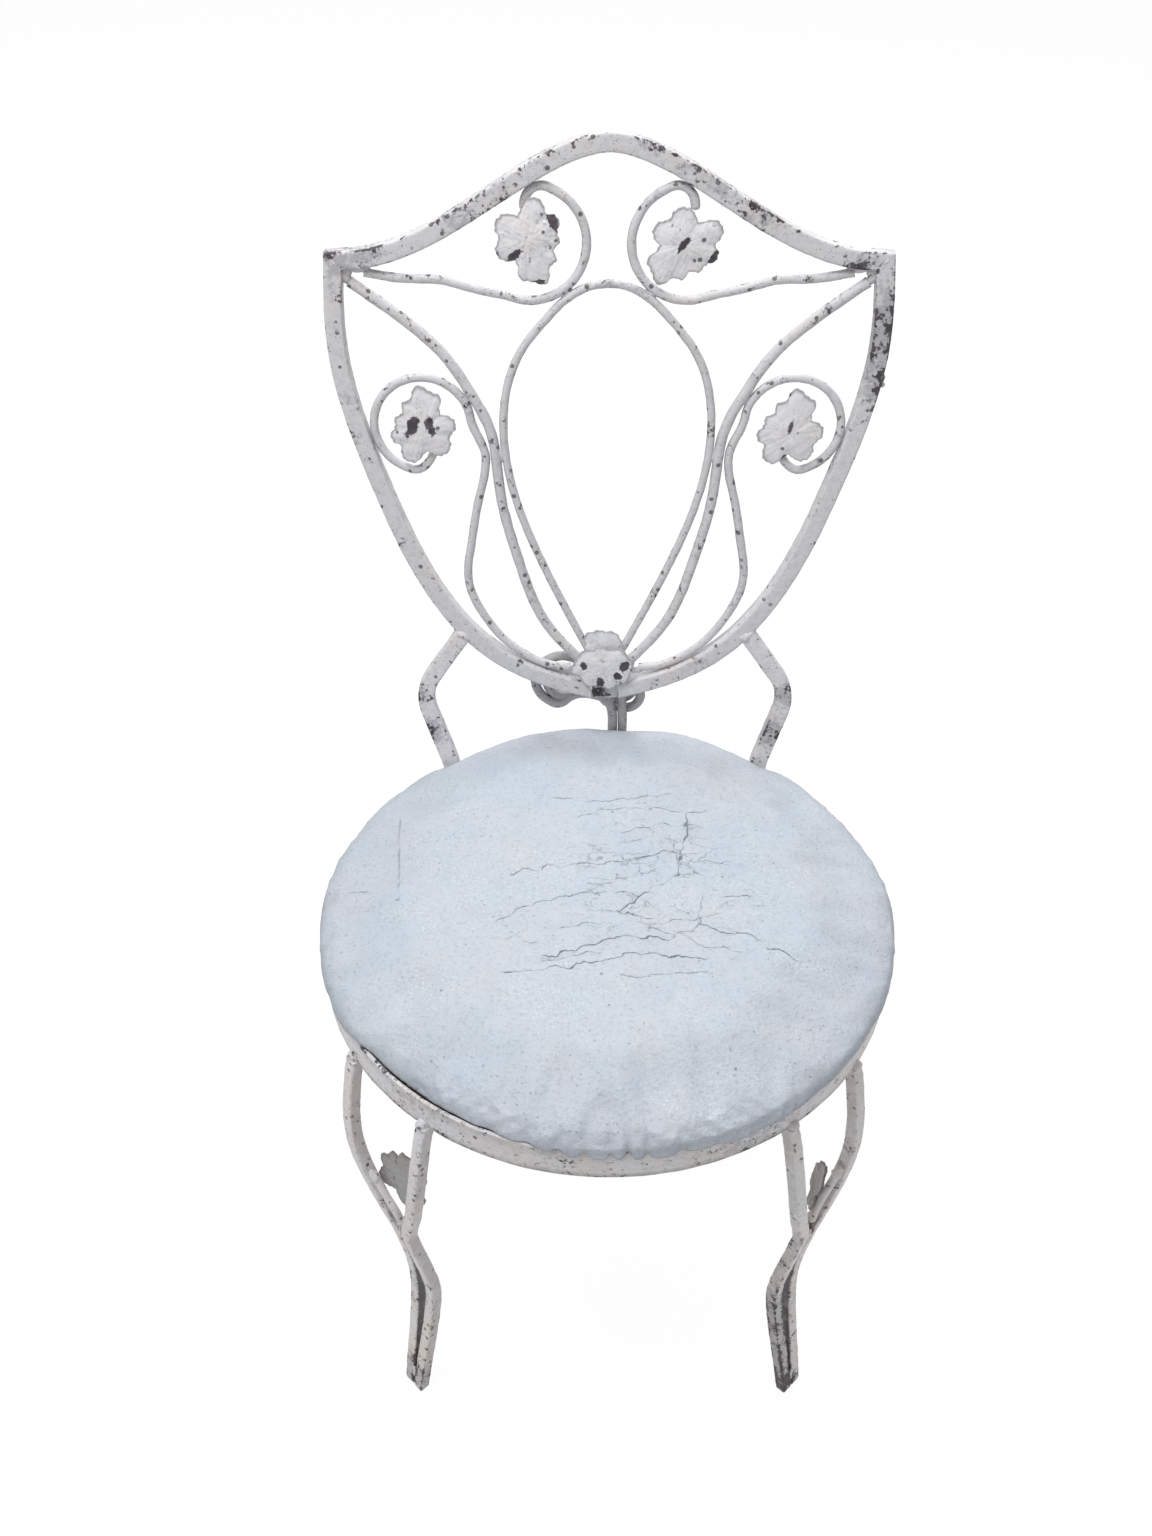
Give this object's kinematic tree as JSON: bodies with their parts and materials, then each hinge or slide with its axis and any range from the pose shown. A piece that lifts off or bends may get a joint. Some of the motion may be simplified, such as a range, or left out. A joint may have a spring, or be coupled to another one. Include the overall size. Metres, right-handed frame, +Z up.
{
  "type": "vanity chair",
  "caption": "Low vanity chair of white painted wrought iron with a shield back of rods, scrolls and leaves, a round ring on splayed leafed legs and a loose domed vinyl seat pad",
  "frame": {"origin": "On the floor, at the middle of the box round the whole chair", "axes": "+X to the right as seen by somebody facing the front of the chair, +Y to the chair's rear, +Z up"},
  "size_m": [0.4, 0.4662, 0.8547],
  "materials": {
    "painted_iron": "worn satin paint",
    "painted_leaf": "worn satin paint",
    "seat_vinyl": "satin, crackled",
    "seat_plywood": "bare"
  },
  "bodies": {
    "frame": {"seat_ring": "painted_iron", "seat_rest_tab_front": "painted_iron", "seat_rest_tab_right": "painted_iron", "seat_rest_tab_rear": "painted_iron", "seat_rest_tab_left": "painted_iron", "back_top_rail": "painted_iron", "back_side_left": "painted_iron", "back_side_right": "painted_iron", "back_tie_plate": "painted_iron", "back_oval": "painted_iron", "back_sweep_left": "painted_iron", "back_sweep_right": "painted_iron", "upper_scroll_left": "painted_iron", "upper_scroll_right": "painted_iron", "lower_scroll_left": "painted_iron", "lower_scroll_right": "painted_iron", "back_post_left": "painted_iron", "back_post_right": "painted_iron", "rear_scroll_left": "painted_iron", "rear_scroll_right": "painted_iron", "leg_front_left_inner_bar": "painted_iron", "leg_front_left_outer_bar": "painted_iron", "leg_front_left_stem": "painted_iron", "leg_front_right_inner_bar": "painted_iron", "leg_front_right_outer_bar": "painted_iron", "leg_front_right_stem": "painted_iron", "leg_rear_left_inner_bar": "painted_iron", "leg_rear_left_outer_bar": "painted_iron", "leg_rear_left_stem": "painted_iron", "leg_rear_right_inner_bar": "painted_iron", "leg_rear_right_outer_bar": "painted_iron", "leg_rear_right_stem": "painted_iron", "upper_leaf_left": "painted_leaf", "upper_leaf_right": "painted_leaf", "lower_leaf_left": "painted_leaf", "lower_leaf_right": "painted_leaf", "tip_leaf": "painted_leaf", "tip_bud": "painted_leaf", "leg_front_left_leaf": "painted_leaf", "leg_front_right_leaf": "painted_leaf", "leg_rear_left_leaf": "painted_leaf", "leg_rear_right_leaf": "painted_leaf"},
    "seat_pad": {"seat_board": "seat_plywood", "seat_cushion": "seat_vinyl"}
  },
  "joints": [
    {"name": "pad_lift", "type": "slide", "parent": "frame", "child": "seat_pad", "axis": [0, 0, 1], "range_m": [0, 0.028]}
  ]
}
